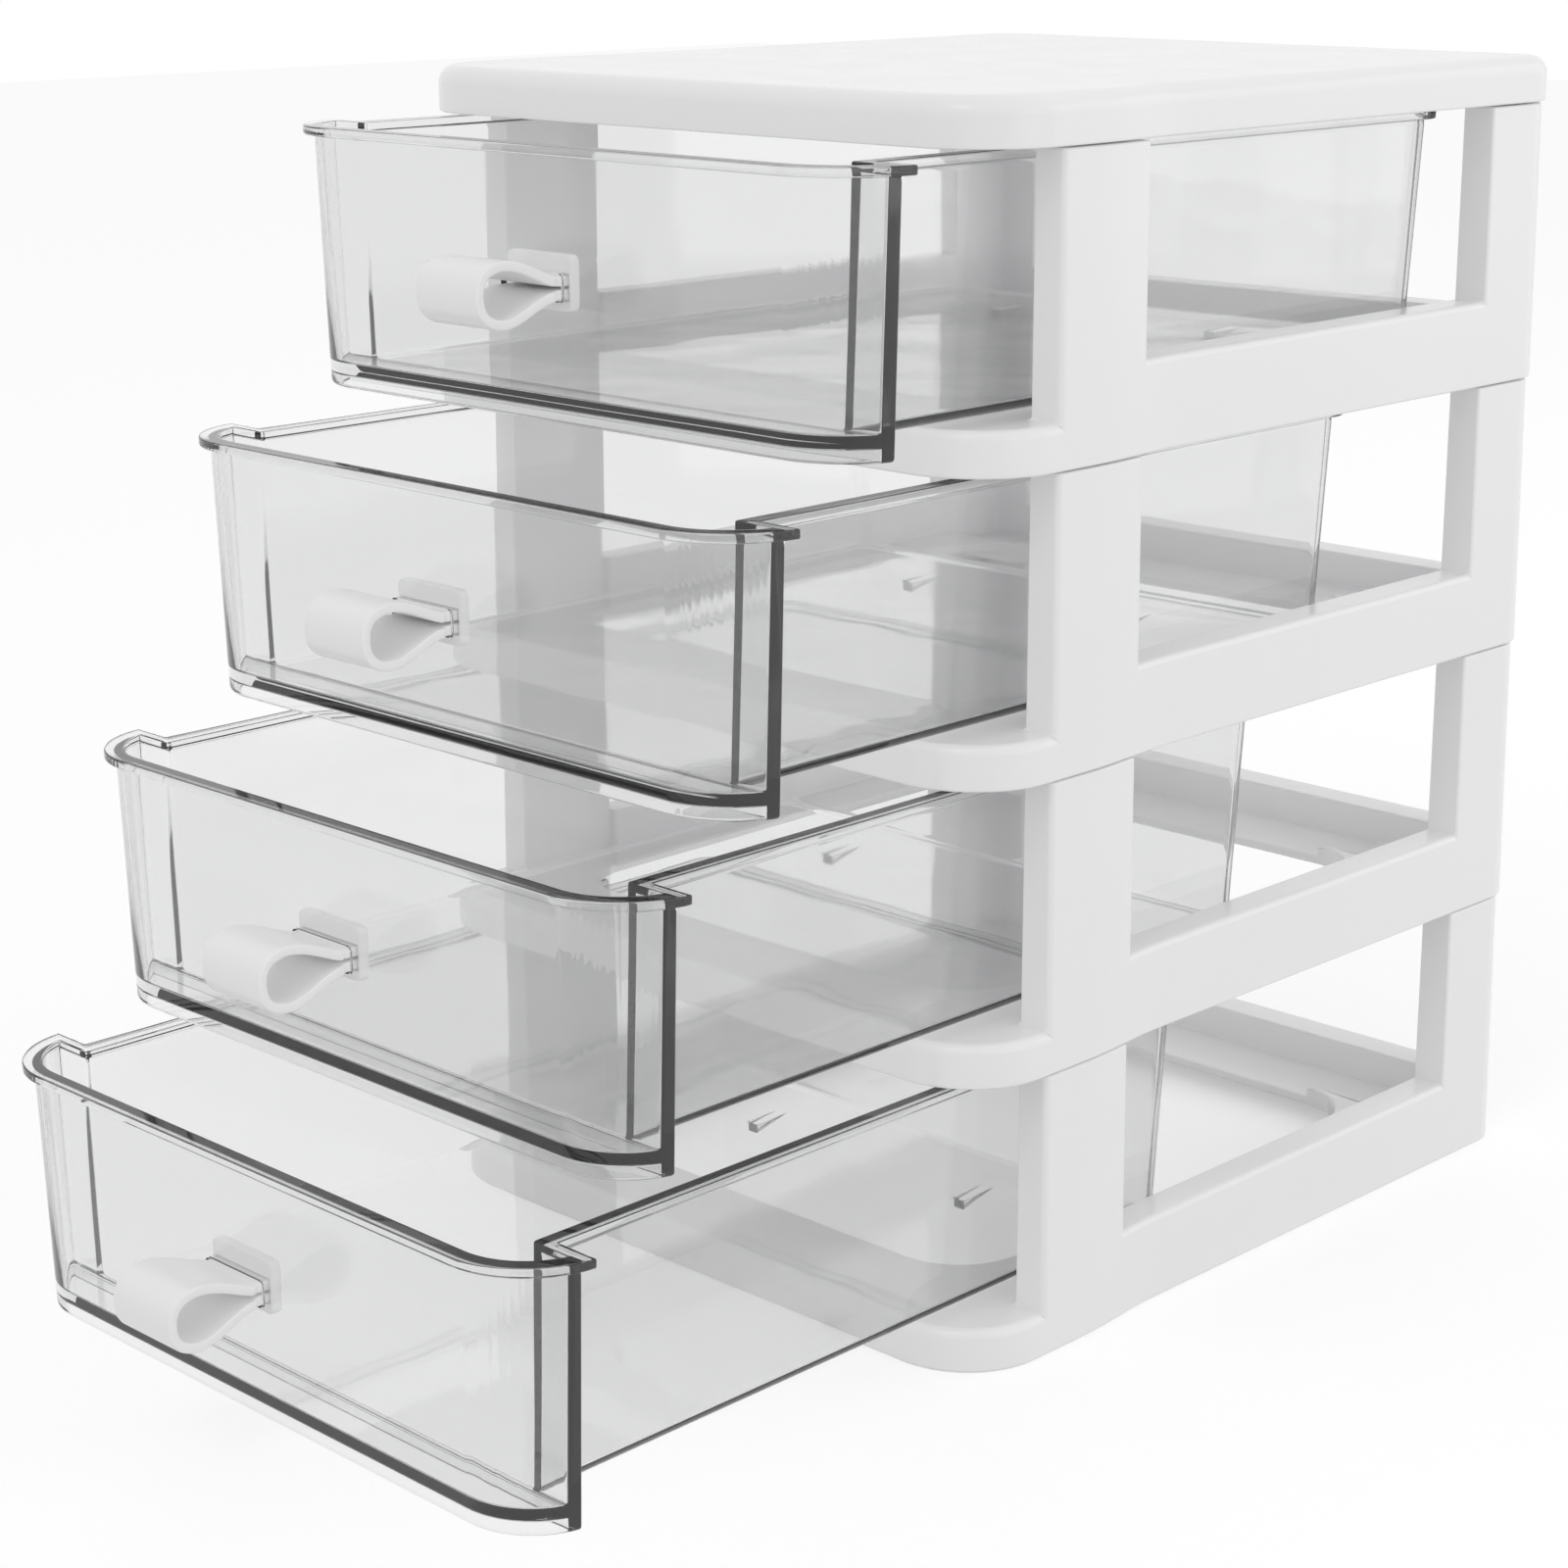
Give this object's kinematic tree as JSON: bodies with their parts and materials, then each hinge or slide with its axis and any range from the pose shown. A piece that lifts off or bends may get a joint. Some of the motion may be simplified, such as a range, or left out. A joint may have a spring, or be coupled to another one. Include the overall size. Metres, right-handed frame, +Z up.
{
  "type": "desktop drawer organizer",
  "caption": "Desktop organizer: open white tiers stacked under a flat cover, each with a clear stepped pull-out drawer on a low lip, and a small white pull clipped through its front.",
  "frame": {"origin": "middle of the ground covered by the organizer as pictured, drawers open, at the height of the surface it stands on", "axes": "+Z up, +X to the right of a person facing the drawers, the drawers open towards -Y"},
  "size_m": [0.1326, 0.264, 0.2022],
  "materials": {
    "white_frame": "satin moulded white plastic with soft gloss",
    "clear_drawer": "clear glossy moulded plastic with a faint grey tint",
    "white_pull": "smooth moulded white plastic"
  },
  "bodies": {
    "stack": {"tier_1": "white_frame", "tier_2": "white_frame", "tier_3": "white_frame", "tier_4": "white_frame", "cover": "white_frame"},
    "pullout_1": {"drawer_1": "clear_drawer", "pull_1": "white_pull", "clip_1": "white_pull"},
    "pullout_2": {"drawer_2": "clear_drawer", "pull_2": "white_pull", "clip_2": "white_pull"},
    "pullout_3": {"drawer_3": "clear_drawer", "pull_3": "white_pull", "clip_3": "white_pull"},
    "pullout_4": {"drawer_4": "clear_drawer", "pull_4": "white_pull", "clip_4": "white_pull"}
  },
  "joints": [
    {"name": "drawer_1_slide", "type": "slide", "parent": "stack", "child": "pullout_1", "axis": [0, -1, 0], "range_m": [-0.0159, 0.0883]},
    {"name": "drawer_2_slide", "type": "slide", "parent": "stack", "child": "pullout_2", "axis": [0, -1, 0], "range_m": [-0.0397, 0.0645]},
    {"name": "drawer_3_slide", "type": "slide", "parent": "stack", "child": "pullout_3", "axis": [0, -1, 0], "range_m": [-0.06137, 0.04283]},
    {"name": "drawer_4_slide", "type": "slide", "parent": "stack", "child": "pullout_4", "axis": [0, -1, 0], "range_m": [-0.0805, 0.0237]}
  ]
}
